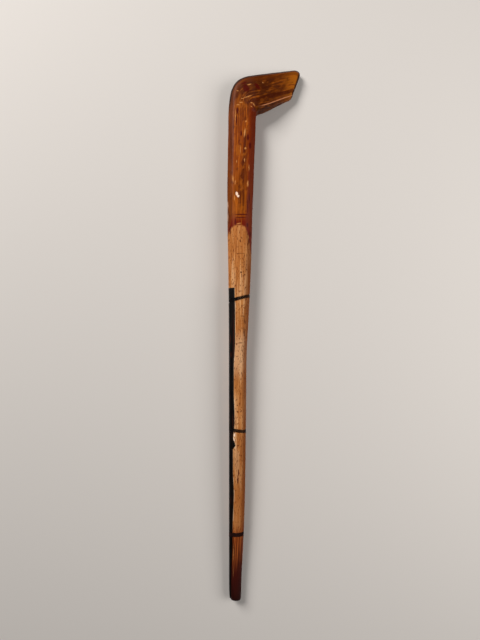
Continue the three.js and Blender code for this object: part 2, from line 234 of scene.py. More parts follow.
def trim_facets(piece, middle, width, depth, facets):
    """Slides the ends of the section's four flats to leave facets of the given sizes."""
    mesh = bmesh.from_edit_mesh(piece.data)
    ring = [vertex for vertex in mesh.verts if vertex.select]
    outer, inner, back, rise, back_rise = facets
    flats = (
        ("z", 1, "x", -0.5 * width + outer, 0.5 * width - inner),
        ("z", -1, "x", -0.5 * width + back, 0.5 * width - back),
        ("x", -1, "z", -0.5 * depth + back_rise, 0.5 * depth - rise[0]),
        ("x", 1, "z", -0.5 * depth + back_rise, 0.5 * depth - rise[1]),
    )
    bpy.ops.mesh.select_mode(type="VERT")
    for facing, side, axis, low, high in flats:
        reach = 0.499 * (depth if facing == "z" else width)
        ends = [
            vertex for vertex in ring
            if side * (getattr(vertex.co, facing) - getattr(middle, facing)) > reach
        ]
        bpy.ops.mesh.select_all(action="DESELECT")
        for vertex in ends:
            vertex.select_set(True)
        bmesh.update_edit_mesh(piece.data)
        places = [getattr(vertex.co, axis) - getattr(middle, axis) for vertex in ends]
        span, centre = max(places) - min(places), 0.5 * (max(places) + min(places))
        along = Vector((1, 0, 0)) if axis == "x" else Vector((0, 0, 1))
        growth = Vector((1, 1, 1)) + along * ((high - low) / span - 1)
        bpy.ops.transform.resize(value=growth, center_override=middle + along * centre)
        bpy.ops.transform.translate(value=along * (0.5 * (low + high) - centre))
    for vertex in ring:
        vertex.select_set(True)
    mesh.select_flush(True)
    bmesh.update_edit_mesh(piece.data)
    bpy.ops.mesh.select_mode(type="FACE")


def close_mesh():
    """Ends edit mode with every face turned outwards."""
    bpy.ops.mesh.select_mode(type="VERT")
    bpy.ops.mesh.select_all(action="SELECT")
    bpy.ops.mesh.normals_make_consistent(inside=False)
    bpy.ops.object.mode_set(mode="OBJECT")


def take_up(piece):
    """Makes a piece the only selected one, and the active one."""
    bpy.ops.object.select_all(action="DESELECT")
    piece.select_set(True)
    bpy.context.view_layer.objects.active = piece


def apply_modifier(piece, kind, **settings):
    """Puts a modifier with these settings on a piece and applies it."""
    take_up(piece)
    modifier = piece.modifiers.new(kind.lower(), kind)
    for key, value in settings.items():
        setattr(modifier, key, value)
    bpy.ops.object.modifier_apply(modifier=modifier.name)


def smooth_by_angle(piece, angle):
    """Shades a piece smooth, but for edges sharper than so many degrees."""
    take_up(piece)
    bpy.ops.object.shade_smooth_by_angle(angle=math.radians(angle))


def cut_groove(piece, place, tilt, turns):
    """Lets a binding in: two slanting saw cuts round the piece, and the wood between sunk."""
    take_up(piece)
    bpy.ops.object.mode_set(mode="EDIT")
    spare = 0.15
    half = (0.5 * (CORD_PITCH * turns + CORD_DIAMETER) + spare) * MM
    slope = math.tan(math.radians(tilt))
    normal = Vector((-slope, 1, 0)).normalized()
    centre = spot(outer_edge(place) + 0.5 * shaft_width(place), place)
    for side in (-1, 1):
        bpy.ops.mesh.select_all(action="SELECT")
        saw_cut = centre + Vector((0, side * half, 0))
        bpy.ops.mesh.bisect(plane_co=saw_cut, plane_no=normal, threshold=1e-7)
    mesh = bmesh.from_edit_mesh(piece.data)
    bpy.ops.mesh.select_mode(type="FACE")
    bpy.ops.mesh.select_all(action="DESELECT")
    reach = half * normal.y
    for face in mesh.faces:
        if abs((face.calc_center_median() - centre).dot(normal)) < reach and abs(face.normal.y) < 0.7:
            face.select_set(True)
    bmesh.update_edit_mesh(piece.data)
    bpy.ops.mesh.extrude_region_shrink_fatten(
        TRANSFORM_OT_shrink_fatten={"value": -GROOVE_DEPTH * MM}
    )
    bpy.ops.object.mode_set(mode="OBJECT")


# ---------------------------------------------------------------------------------------------
# The carved stick.
# ---------------------------------------------------------------------------------------------
def section_lines():
    """Section lines from an outer to an inner point, with back, front, facets and roundness."""
    lines = []
    round_below, round_reach = 0.86, 0.16
    outer_lead, inner_lead = 16, 6

    def add_line(outer, inner, back, front, outer_facet, inner_facet, roundness):
        lines.append((Vector(outer), Vector(inner), back, front, outer_facet, inner_facet, roundness))

    def add_shaft_line(v_outer, v_inner):
        v = 0.5 * (v_outer + v_inner)
        roundness = min(max((round_below - v / SHAFT_LENGTH) / round_reach, 0), 1)
        outer = (outer_edge(v_outer), v_outer)
        inner = (outer_edge(v_inner) + shaft_width(v_inner), v_inner)
        back = back_height(v)
        add_line(outer, inner, back, back + shaft_depth(v), NECK_FACET, NECK_FACET, roundness)

    for share in (0, 0.0015, 0.004, 0.011):
        add_shaft_line(share * SHAFT_LENGTH, share * SHAFT_LENGTH)
    shaft_steps, corner_steps, crown_steps, nose_steps = 34, 10, 8, 5
    for step in range(shaft_steps + 1):
        share = step / shaft_steps
        add_shaft_line(
            between(ROUNDED_TIP, SHAFT_LENGTH - outer_lead, share),
            between(ROUNDED_TIP, SHAFT_LENGTH - INNER_FILLET - inner_lead, share),
        )
    top = SHAFT_LENGTH
    root = outer_edge(top) + NECK_WIDTH

    def handle_point(across, up):
        return (across * HANDLE_REACH, top + up * HANDLE_RISE)

    fillet_end = (root + INNER_FILLET, top + 0.35 * INNER_FILLET)
    corner = [(outer_edge(top), top + 1), handle_point(0.021, 0.437), handle_point(0.026, 0.746),
              handle_point(0.341, 0.775)]
    crown = [handle_point(0.341, 0.775), handle_point(0.857, 0.984)]
    nose = [handle_point(0.857, 0.984), handle_point(0.936, 1.018), handle_point(1, 1.007),
            handle_point(1, 0.893)]
    fillet = [(root, top - INNER_FILLET), (root, top), fillet_end]
    under = [fillet_end, handle_point(0.553, 0.076), handle_point(0.698, 0.244),
             handle_point(0.844, 0.346)]
    end = [handle_point(0.844, 0.346), handle_point(0.88, 0.392)]
    nose_depth = 1.2 * BEAK_DEPTH
    for step in range(corner_steps + 1):
        share = step / corner_steps
        add_line(
            bezier(corner, share), bezier(fillet, share), 0, NECK_DEPTH,
            between(NECK_FACET, CROWN_FACET, share), between(NECK_FACET, UNDER_FACET, share), 0,
        )
    for step in range(1, crown_steps + 1):
        share = step / crown_steps
        front = between(NECK_DEPTH, nose_depth, share ** 1.1)
        add_line(bezier(crown, share), bezier(under, share), 0, front, CROWN_FACET, UNDER_FACET, 0)
    for step in range(1, nose_steps + 1):
        share = step / nose_steps
        front = between(nose_depth, BEAK_DEPTH, share)
        add_line(bezier(nose, share), bezier(end, share), 0, front, CROWN_FACET, UNDER_FACET, 0)
    return lines


def line_stations(lines):
    """The section lines as stations. The cage is a little full, for what smoothing takes off."""
    flat_full, round_full = 1.01, 0.014
    round_share, facet_share, rise_share, rise_limit = 0.29, 0.3, 0.8, 0.4
    stations = []
    for outer, inner, back, front, outer_facet, inner_facet, roundness in lines:
        across = inner - outer
        full = flat_full + round_full * roundness
        width, depth = across.length * full, (front - back) * full
        middle = between(outer, inner, 0.5)
        turn = math.atan2(across.y, across.x)
        round_cut, round_rise = round_share * width, round_share * depth
        back_cut = min(BACK_FACET, facet_share * width)
        facets = [
            between(min(outer_facet, facet_share * width), round_cut, roundness) * MM,
            between(min(inner_facet, facet_share * width), round_cut, roundness) * MM,
            between(back_cut, round_cut, roundness) * MM,
            [between(min(rise_share * outer_facet, rise_limit * depth), round_rise, roundness) * MM,
             between(min(rise_share * inner_facet, rise_limit * depth), round_rise, roundness) * MM],
            between(min(BACK_FACET, facet_share * depth), round_rise, roundness) * MM,
        ]
        place = spot(middle.x, middle.y, 0.5 * (back + front))
        stations.append((place, turn, width * MM, depth * MM, facets))
    return stations


def crease_along(piece, lines):
    """Sharpens the facet edges of the crook and neck, fading out down the shaft."""
    for low, high, crease in ((570, 640, 0.25), (640, 720, 0.5), (720, 2000, 0.7)):
        mesh = bmesh.from_edit_mesh(piece.data)
        for edge in mesh.edges:
            edge.select_set(False)
        for edge in mesh.edges:
            ends = [vertex.co for vertex in edge.verts]
            middle_v = (0.5 * (ends[0].y + ends[1].y) - TIP_Y) / MM
            same_ring = nearest_line(ends[0], lines) == nearest_line(ends[1], lines)
            if low <= middle_v < high and not same_ring:
                edge.select_set(True)
        bmesh.update_edit_mesh(piece.data)
        bpy.ops.transform.edge_crease(value=crease)


def nearest_line(point, lines):
    """Number of the section line that a cage point lies on."""
    gaps = []
    for outer, inner, *_ in lines:
        origin, along = spot(*outer), (inner - outer).normalized()
        gaps.append(abs((point.x - origin.x) * along.y - (point.y - origin.y) * along.x))
    return int(np.argmin(gaps))


def make_stick(lines):
    """Extrudes the eight-sided stick, wears its edges and cuts the grooves for the bindings."""
    eight_sides = {(side, level): (0.2, 1) for side in (-1, 1) for level in (-1, 1)}
    stick = extrude_along("carved_stick_wood", line_stations(lines), eight_sides, trim_facets)
    # The beak's end face: a narrow worn edge round the flat that the saw left.
    bpy.ops.mesh.inset(thickness=1.2 * MM, depth=0.6 * MM)
    bpy.ops.mesh.inset(thickness=4 * MM, depth=0)
    crease_along(stick, lines)
    # A knife never leaves a true line: each cage point wanders by up to a third of a millimetre.
    bpy.ops.mesh.select_all(action="SELECT")
    bpy.ops.transform.vertex_random(offset=0.33 * MM, uniform=0.6, seed=11)
    close_mesh()
    apply_modifier(stick, "SUBSURF", levels=3, render_levels=3)
    for binding in BINDINGS.values():
        cut_groove(stick, **binding)
    return stick


def rebate_stations():
    """Stations of the block that cuts the splint's rebate out of the stick."""
    steps, overshoot = 80, 12.0
    places = sorted([-overshoot] + [SPLINT_LENGTH * step / steps for step in range(steps + 1)]
                    + [NOTCH_PLACE - NOTCH_BELOW, NOTCH_PLACE, NOTCH_PLACE + NOTCH_ABOVE])
    stations = []
    for v in places:
        near = max(v, ROUNDED_TIP)
        wall = wall_place(max(v, 0)) + notch_width(v)
        bed = bed_height(v)
        left = outer_edge(near) - overshoot
        top = back_height(near) + shaft_depth(near) + overshoot
        place = spot(0.5 * (wall + left), v, 0.5 * (bed + top))
        stations.append((place, 0.0, (wall - left) * MM, (top - bed) * MM, None))
    return stations


# ---------------------------------------------------------------------------------------------
# The black splint.
# ---------------------------------------------------------------------------------------------
def splint_stations():
    """Stations of the splint, which fills the rebate but for hairline gaps and a sunk front."""
    steps, end_gap, edge_gap, wall_gap, bed_gap, sunk = 76, 0.5, 0.05, 0.12, 0.1, 0.5
    places = [0.006 * SHAFT_LENGTH, 0.009 * SHAFT_LENGTH, ROUNDED_TIP]
    places += [between(ROUNDED_TIP, SPLINT_LENGTH - 2, step / steps) for step in range(1, steps + 1)]
    places += [SPLINT_LENGTH - end_gap]
    places += [NOTCH_PLACE - NOTCH_BELOW, NOTCH_PLACE, NOTCH_PLACE + NOTCH_ABOVE]
    stations = []
    for v in sorted(places):
        near = max(v, ROUNDED_TIP)
        left = outer_edge(v) + edge_gap
        wall = wall_place(v) + 0.9 * notch_width(v) - wall_gap
        bed = bed_height(v) + bed_gap
        half = 0.5 * shaft_width(near)
        reach = 1 - min(lip_width(v) / half, 1)
        rounding = 1 + math.sqrt(1 - 0.8 * reach ** 2)
        top = back_height(near) + 0.5 * shaft_depth(near) * rounding - sunk
        if v < ROUNDED_TIP:
            top -= 0.5 * (TIP_DEPTH - shaft_depth(v))
        place = spot(0.5 * (left + wall), v, 0.5 * (bed + top))
        stations.append((place, 0.0, (wall - left) * MM, (top - bed) * MM, None))
    return stations


def make_splint():
    """Extrudes the splint, softens it and sinks its share of the grooves."""
    # One large round on the corner that faces out and up, and small ones on the other three.
    rounds = {(-1, 1): (0.58, 5), (1, 1): (0.12, 1), (-1, -1): (0.12, 1), (1, -1): (0.12, 1)}
    splint = extrude_along("black_splint_cane", splint_stations(), rounds)
    bpy.ops.mesh.inset(thickness=0.8 * MM, depth=0.4 * MM)
    bpy.ops.mesh.select_all(action="SELECT")
    bpy.ops.transform.vertex_random(offset=0.08 * MM, uniform=0.4, seed=5)
    close_mesh()
    apply_modifier(splint, "SUBSURF", levels=2, render_levels=2)
    for binding in BINDINGS.values():
        cut_groove(splint, **binding)
    smooth_by_angle(splint, 40)
    return splint


stick_lines = section_lines()
stick = make_stick(stick_lines)
rebate = extrude_along("rebate_block", rebate_stations(), {})
close_mesh()
apply_modifier(stick, "BOOLEAN", operation="DIFFERENCE", object=rebate, solver="EXACT")
bpy.data.objects.remove(rebate, do_unlink=True)
smooth_by_angle(stick, 38)
splint = make_splint()


# ---------------------------------------------------------------------------------------------
# The cord bindings.
# ---------------------------------------------------------------------------------------------
def wound_path(trees, place, tilt, turns, lift):
    """Points of a cord pulled tight in its groove, its turns side by side.

    The cord lies on the outline's convex wrap, found by the farthest surface point each way.
    """
    slope = math.tan(math.radians(tilt))
    ray_count, far_out, start_turn = 180, 60 * MM, 0.42 * math.pi
    middle = spot(
        outer_edge(place) + 0.5 * shaft_width(place), place, back_height(place) + 0.5 * shaft_depth(place)
    )
    outline = []
    for step in range(ray_count):
        angle = 2 * math.pi * step / ray_count
        ray = Vector((math.cos(angle), slope * math.cos(angle), math.sin(angle))).normalized()
        start = middle + ray * far_out
        hits = [tree.ray_cast(start, -ray)[0] for tree in trees]
        hits = [hit for hit in hits if hit is not None]
        outline.append(max(hits, key=lambda hit: (hit - middle).length))
    flat = np.array([(point.x - middle.x, point.z - middle.z) for point in outline])
    points = []
    for step in range(int(360 * turns) + 1):
        angle = math.radians(step) - start_turn
        normal = np.array((math.cos(angle), math.sin(angle)))
        x, z = flat[np.argmax(flat @ normal)] + normal * lift
        along = CORD_PITCH * MM * (step / 360 - 0.5 * turns)
        points.append(Vector((middle.x + x, middle.y + slope * x + along, middle.z + z)))
    return even_points(points, 0.5 * MM)


def even_points(points, spacing):
    """The same path, eased, with its points a set distance apart."""
    places = np.array([tuple(point) for point in points])
    steps = np.linalg.norm(np.diff(places, axis=0), axis=1)
    run = np.concatenate([[0], np.cumsum(steps)])
    wanted = np.linspace(0, run[-1], max(int(run[-1] / spacing), 2))
    even = np.stack([np.interp(wanted, run, places[:, axis]) for axis in range(3)], axis=1)
    for _ in range(3):
        even[1:-1] = 0.25 * even[:-2] + 0.5 * even[1:-1] + 0.25 * even[2:]
    return [Vector(point) for point in even]


def twisted_cord(name, path, strand_radius, lay):
    """Three strands twisted round a path as one curve object, then made a mesh."""
    curve = bpy.data.curves.new(name, "CURVE")
    curve.dimensions = "3D"
    curve.bevel_depth = strand_radius
    curve.bevel_resolution = 1
    curve.use_fill_caps = True
    offset, strands = 1.05 * strand_radius, 3
    frames, run = [], 0.0
    for number, point in enumerate(path):
        ahead = (path[min(number + 1, len(path) - 1)] - path[max(number - 1, 0)]).normalized()
        side = ahead.cross(Vector((0, 1, 0.02))).normalized()
        run += (point - path[max(number - 1, 0)]).length
        frames.append((point, side, side.cross(ahead), run))
    for strand in range(strands):
        spline = curve.splines.new("POLY")
        spline.points.add(len(path) - 1)
        for number, (point, side, up, run) in enumerate(frames):
            angle = 2 * math.pi * (run / lay + strand / strands)
            place = point + side * (offset * math.cos(angle)) + up * (offset * math.sin(angle))
            spline.points[number].co = (*place, 1)
    piece = bpy.data.objects.new(name, curve)
    bpy.context.scene.collection.objects.link(piece)
    take_up(piece)
    bpy.ops.object.convert(target="MESH")
    return bpy.context.object


def knot_path(trees, binding, size):
    """A small tight knot under the stick's back, where the cord's two ends meet."""
    path = wound_path(trees, lift=0.75 * CORD_DIAMETER * MM, **binding)
    centre = between(path[0], path[-1], 0.5)
    out, along = Vector((0, 0, -1)), Vector((0, 1, 0))
    side = out.cross(along)
    steps = 120
    points = []
    for step in range(steps + 1):
        angle = 2 * math.pi * step / steps
        x = math.sin(angle) + 2 * math.sin(2 * angle)
        y = math.cos(angle) - 2 * math.cos(2 * angle)
        rise = -0.3 * math.sin(3 * angle) + 0.15
        points.append(centre + (side * x + along * y) * (size / 3) + out * (rise * size))
    return even_points(points, 0.4 * MM)


def make_binding(name, binding, trees):
    """One binding: the cord wound round the stick and the splint, and its knot, as one piece."""
    strand_radius, lay = 0.235 * CORD_DIAMETER * MM, 3.0 * MM
    path = wound_path(trees, lift=0.5 * CORD_DIAMETER * MM, **binding)
    wound = twisted_cord(name, path, strand_radius, lay)
    knot = twisted_cord(name + "_knot", knot_path(trees, binding, 1.5 * MM), strand_radius, lay)
    take_up(wound)
    knot.select_set(True)
    bpy.ops.object.join()
    smooth_by_angle(wound, 60)
    return wound


depsgraph = bpy.context.evaluated_depsgraph_get()
surfaces = [BVHTree.FromObject(piece, depsgraph) for piece in (stick, splint)]
cords = {name: make_binding(name + "_binding_cord", binding, surfaces)
         for name, binding in BINDINGS.items()}


# ---------------------------------------------------------------------------------------------
# Attributes that carry the run of the grain round the crook.
# ---------------------------------------------------------------------------------------------
def grain_attributes(piece, lines):
    """Stores how far each vertex is across, along and up the stick.

    'grain' holds millimetres across from the middle, along from the tip and up from the back,
    the last stretched so that the grain follows the handle as it thins.
    'share' holds 0 to 1 from outer to inner edge, millimetres along, and 0 to 1 from back to front.
    Gives back the whole length of the run.
    """
    count = len(piece.data.vertices)
    flat = np.empty(count * 3)
    piece.data.vertices.foreach_get("co", flat)
    places = flat.reshape(-1, 3) / MM - np.array([OUTER_X / MM, TIP_Y / MM, 0])
    outer = np.array([tuple(line[0]) for line in lines])
    inner = np.array([tuple(line[1]) for line in lines])
    heights = np.array([(line[2], line[3]) for line in lines])
    across = inner - outer
    width = np.linalg.norm(across, axis=1)
    along = across / width[:, None]
    middles = 0.5 * (outer + inner)
    run = np.concatenate([[0], np.cumsum(np.linalg.norm(np.diff(middles, axis=0), axis=1))])
    gap = places[:, None, :2] - outer[None]
    beyond = along[None, :, 0] * gap[:, :, 1] - along[None, :, 1] * gap[:, :, 0]
    over = (gap * along[None]).sum(axis=2) / width[None]
    passed = np.cumprod(beyond >= 0, axis=1).sum(axis=1)
    last = np.clip(passed - 1, 0, len(lines) - 2)
    rows = np.arange(count)
    here, there = beyond[rows, last], beyond[rows, last + 1]
    blend = np.clip(here / np.maximum(here - there, 1e-6), 0, 1)

    def blended(values):
        return values[last] * (1 - blend) + values[last + 1] * blend

    share = over[rows, last] * (1 - blend) + over[rows, last + 1] * blend
    back, front = blended(heights[:, 0]), blended(heights[:, 1])
    rise = (places[:, 2] - back) / (front - back)
    grain = np.stack([(share - 0.5) * blended(width), blended(run), rise * NECK_DEPTH], axis=1)
    shares = np.stack([share, blended(run), rise], axis=1)
    for name, values in (("grain", grain), ("share", shares)):
        layer = piece.data.attributes.new(name, "FLOAT_VECTOR", "POINT")
        layer.data.foreach_set("vector", values.astype(np.float32).ravel())
    return float(run[-1])


def mark_lip_wear_and_highlight(piece):
    """Marks the thin line where the rebate's wall meets the stick's front: a worn edge, and a painted
    highlight along it.
    """
    layer = piece.data.attributes.new("lip_wear_and_highlight", "FLOAT", "POINT")
    for vertex in piece.data.vertices:
        u, v = (vertex.co.x - OUTER_X) / MM, (vertex.co.y - TIP_Y) / MM
        if not 0 < v < SPLINT_LENGTH + 0.3:
            continue
        wall = wall_place(v) + notch_width(v)
        near = max(v, ROUNDED_TIP)
        top = back_height(near) + 0.75 * shaft_depth(near)
        if abs(u - wall) < 0.12 and vertex.co.z / MM > top:
            layer.data[vertex.index].value = 1.0


grain_run = grain_attributes(stick, stick_lines)
mark_lip_wear_and_highlight(stick)


# ---------------------------------------------------------------------------------------------
# Materials.
# ---------------------------------------------------------------------------------------------
MATH, MIX, RANGE, RAMP = (
    "ShaderNodeMath", "ShaderNodeMix", "ShaderNodeMapRange", "ShaderNodeValToRGB"
)


def colour(hex_value):
    """An sRGB hex value as linear red, green, blue and alpha."""
    parts = [int(hex_value[index:index + 2], 16) / 255 for index in (1, 3, 5)]
    linear = [part / 12.92 if part <= 0.04045 else ((part + 0.055) / 1.055) ** 2.4 for part in parts]
    return (*linear, 1.0)


def add_node(tree, kind, inputs=(), take=0, stops=(), **settings):
    """Adds a node with its settings and links, and gives back the output that is taken.

    Stops are the (place, hex colour) pairs of a colour ramp, its two ends first.
    """
    node = tree.nodes.new(kind)
    for key, value in settings.items():
        setattr(node, key, value)
    for key, value in dict(inputs).items():
        if isinstance(value, bpy.types.NodeSocket):
            tree.links.new(value, node.inputs[key])
        else:
            node.inputs[key].default_value = value
    for number, (place, tint) in enumerate(stops):
        stop = node.color_ramp.elements[number] if number < 2 else node.color_ramp.elements.new(place)
        stop.position, stop.color = place, colour(tint)
    return node.outputs[take] if node.outputs else node


def new_material(name):
    """An empty material, with its node tree."""
    material = bpy.data.materials.new(name)
    material.use_nodes = True
    material.node_tree.nodes.clear()
    return material, material.node_tree


def brush_on(tree, under, tint, strength, *masks):
    """Brushes a colour over another where all the masks are, at a strength from 0 to 1.

    A mask is a node's output, or (output, low, high) for the part of it past a soft-edged level.
    """
    mask = strength
    for each in masks:
        if isinstance(each, tuple):
            value, low, high = each
            each = add_node(tree, RANGE, {0: value, 1: low, 2: high}, interpolation_type="SMOOTHSTEP")
        mask = add_node(tree, MATH, {0: mask, 1: each}, operation="MULTIPLY")
    if isinstance(tint, str):
        tint = colour(tint)
    return add_node(tree, MIX, {0: mask, 6: under, 7: tint}, take=2, data_type="RGBA")


def grain_noise(tree, vector, across, along, detail=3.0, seed=0.0):
    """Noise drawn out along the grain, so many units wide and long."""
    scale = (1 / across, 1 / along, 1 / across)
    mapped = add_node(
        tree, "ShaderNodeMapping", {"Vector": vector, "Location": (seed,) * 3, "Scale": scale}
    )
    return add_node(tree, "ShaderNodeTexNoise", {"Vector": mapped, "Scale": 1.0, "Detail": detail})


def shaken_place(tree, size, amount):
    """Object coordinates shaken by noise, so that marks get frayed edges."""
    place = add_node(tree, "ShaderNodeTexCoord", take=3)
    noise = add_node(
        tree, "ShaderNodeTexNoise", {"Vector": place, "Scale": 1 / (size * MM), "Detail": 2.0}, take=1
    )
    shift = add_node(
        tree, "ShaderNodeVectorMath",
        {0: noise, 1: (amount * MM,) * 3, 2: (-0.5 * amount * MM,) * 3}, operation="MULTIPLY_ADD",
    )
    return add_node(tree, "ShaderNodeVectorMath", {0: place, 1: shift}, operation="ADD")


def marks(tree, shaken, sizes, soft=0.45):
    """Mask of hand marks on the front, each (u, v, half width, half length, turn in degrees)."""
    mask = None
    for u, v, half_u, half_v, turn in sizes:
        mapped = add_node(
            tree,
            "ShaderNodeMapping",
            {
                "Vector": shaken,
                "Location": spot(u, v, 35),
                "Rotation": (0, 0, math.radians(turn)),
                "Scale": (1.25 * half_u * MM, 1.15 * half_v * MM, 22 * MM),
            },
            vector_type="TEXTURE",
        )
        away = add_node(tree, "ShaderNodeVectorMath", {0: mapped}, take=1, operation="LENGTH")
        one = add_node(tree, RANGE, {0: away, 1: 1.0, 2: 1.0 - soft}, interpolation_type="SMOOTHSTEP")
        mask = one if mask is None else add_node(tree, MATH, {0: mask, 1: one}, operation="MAXIMUM")
    return mask


def finish_shader(tree, base, rough, relief, depth, specular):
    """Ends a material: colour, roughness and relief of a given depth in metres."""
    bump = add_node(tree, "ShaderNodeBump", {"Height": relief, "Distance": depth, "Strength": 0.8})
    shader = add_node(
        tree,
        "ShaderNodeBsdfPrincipled",
        {"Base Color": base, "Roughness": rough, "Normal": bump, "IOR": 1.5,
         "Specular IOR Level": specular},
    )
    add_node(tree, "ShaderNodeOutputMaterial", {0: shader})


def bare_wood(tree, grain, run, fine, broad, across):
    """Bare worn hardwood: tan, streaked along the grain, with short dark pores.

    Gives back its colour and its pores.
    """
    wood = add_node(
        tree, RAMP, {0: fine},
        stops=((0.3, "#8f5020"), (0.72, "#e0a469"), (0.5, "#b87336")),
    )
    wood = brush_on(tree, wood, "#a8602a", 0.55, (broad, 0.42, 0.62))
    wood = brush_on(tree, wood, "#dba878", 0.5, (broad, 0.5, 0.36))
    worn = (run, 350.0, 385.0), (run, 440.0, 410.0)
    wood = brush_on(tree, wood, "#dfae80", 0.5, *worn)
    wood = brush_on(tree, wood, "#9c5a28", 0.45, (run, 300.0, 180.0))
    # The right flank is darkened: partly the wood's own brown, partly painted shade on the side turned
    # from the light.
    blotch = grain_noise(tree, grain, 9.0, 30.0, 2.0, 21.0)
    stained_and_shaded_flank = add_node(tree, MATH, {0: blotch, 1: 0.16, 2: across}, operation="MULTIPLY_ADD")
    wood = brush_on(tree, wood, "#713306", 0.75, (stained_and_shaded_flank, 0.78, 1.0))
    # Real pores are too fine to show, so these are drawn some five times as wide.
    pits = grain_noise(tree, grain, 1.3, 4.6, 1.0, 11.0)
    pores = add_node(tree, RANGE, {0: pits, 1: 0.6, 2: 0.66}, interpolation_type="SMOOTHSTEP")
    return brush_on(tree, wood, "#5e2006", 0.85, pores), pores


def red_varnish(tree, grain, run, across, fine, broad, blotch):
    """Red-brown varnish, brushed on thick: darkest at the crook's bend, golden at the beak."""
    ramp_end = 960.0
    place = add_node(tree, MATH, {0: run, 1: ramp_end}, operation="DIVIDE")
    tones = ((560, "#8c4306"), (905, "#b4680e"), (640, "#8c4404"), (700, "#823802"), (745, "#7c3402"),
             (800, "#5e2804"), (835, "#4c2002"), (862, "#743604"))
    varnish = add_node(tree, RAMP, {0: place}, stops=[(v / ramp_end, tint) for v, tint in tones])
    on_shaft = add_node(tree, RANGE, {0: run, 1: 780.0, 2: 820.0, 3: 1.0, 4: 0.3})
    varnish = brush_on(tree, varnish, "#b45c10", 0.7, (fine, 0.5, 0.66), on_shaft)
    mottle = grain_noise(tree, grain, 6.0, 10.0, 4.0, 31.0)
    on_handle = (run, 770.0, 810.0)
    varnish = brush_on(tree, varnish, "#a4540e", 0.6, (mottle, 0.5, 0.62), on_handle)
    varnish = brush_on(tree, varnish, "#461400", 0.55, (mottle, 0.46, 0.34))
    varnish = brush_on(tree, varnish, "#451000", 0.8, (broad, 0.5, 0.36))
    varnish = brush_on(tree, varnish, "#a2540c", 0.6, (blotch, 0.54, 0.68))
    bend = (run, 782.0, 812.0), (run, 885.0, 855.0)
    varnish = brush_on(tree, varnish, "#3c1200", 0.62, *bend, (fine, 0.68, 0.5))
    varnish = brush_on(tree, varnish, "#5c2602", 0.6, (across, 0.24, 0.18))
    # The right flank below the crook is darkened: partly the varnish's colour, partly painted shade on
    # the side turned from the light.
    stained_and_shaded_flank = add_node(tree, MATH, {0: blotch, 1: 0.14, 2: across}, operation="MULTIPLY_ADD")
    return brush_on(tree, varnish, "#681e02", 0.9, (stained_and_shaded_flank, 0.76, 0.88), (run, 810.0, 785.0))


